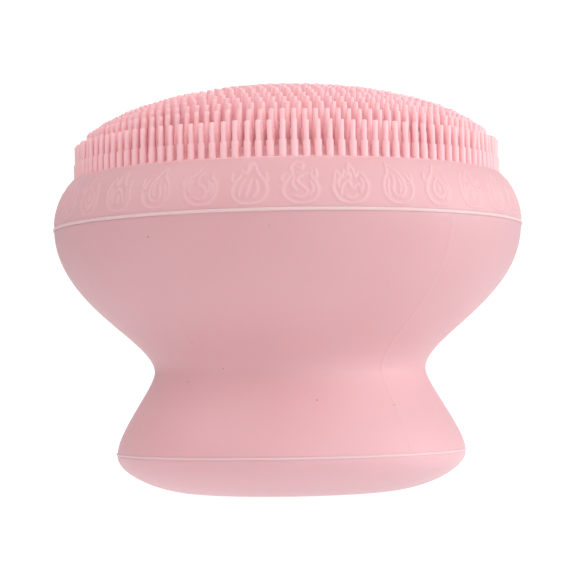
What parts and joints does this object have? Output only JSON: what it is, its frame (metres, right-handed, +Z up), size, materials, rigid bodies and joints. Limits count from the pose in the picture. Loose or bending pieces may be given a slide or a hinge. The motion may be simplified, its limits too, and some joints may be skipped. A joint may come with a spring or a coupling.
{
  "type": "facial cleansing brush",
  "caption": "Hand-held soft silicone facial cleansing brush: a domed head of fine stepped bristles on a hollow, waisted grip with a flat foot.",
  "frame": {"origin": "middle of the flat resting face under the foot", "axes": "+Z up the brush's axis, from the resting face to the bristles; the object is round, so -Y is taken as its front"},
  "size_m": [0.0624, 0.0624, 0.0535],
  "materials": {
    "bristle_silicone": "soft pink silicone, satin, slightly translucent",
    "body_silicone": "soft pink silicone, matt to satin",
    "seam_silicone": "paler pink silicone bead"
  },
  "bodies": {
    "root": {"crown_rim": "bristle_silicone", "crown_middle": "bristle_silicone", "crown_centre": "bristle_silicone", "body_sleeve": "body_silicone", "base_cap": "body_silicone", "upper_seam_bead": "seam_silicone", "lower_seam_bead": "seam_silicone"}
  },
  "joints": []
}
